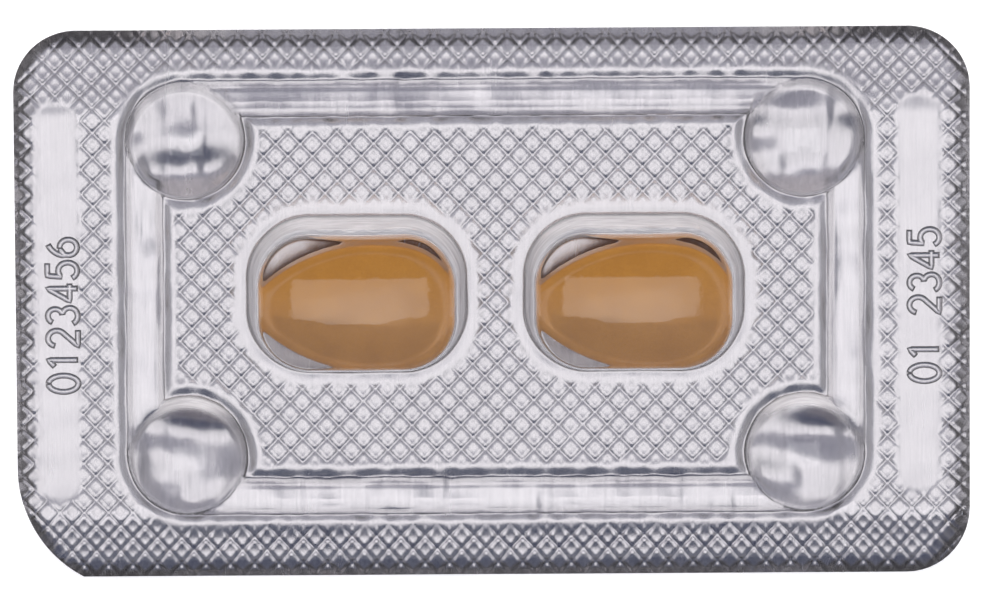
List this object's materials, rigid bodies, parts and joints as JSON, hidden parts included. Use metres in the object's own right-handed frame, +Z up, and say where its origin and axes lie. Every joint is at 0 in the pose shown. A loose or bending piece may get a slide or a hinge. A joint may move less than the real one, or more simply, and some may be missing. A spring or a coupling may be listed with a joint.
{
  "type": "pill blister pack",
  "caption": "Clear formed blister film sealed to aluminium lidding foil, with almond-shaped coated tablets in rounded pockets inside a rib frame with corner domes.",
  "frame": {"origin": "under the middle of the lidding foil, on its outer face", "axes": "+Z up through the foil towards the pockets, +X along the pack's length, +Y across its width, towards the edge away from the side the tablets lie on"},
  "size_m": [0.06, 0.0348, 0.0051],
  "materials": {
    "clear_film": "clear, glossy thermoformed plastic",
    "foil": "bright rolled foil with a pressed seal pattern",
    "tablet_coat": "satin film coating, ochre brown"
  },
  "bodies": {
    "root": {"blister_film": "clear_film", "lidding_foil": "foil", "tablet_left": "tablet_coat", "tablet_right": "tablet_coat"}
  },
  "joints": []
}
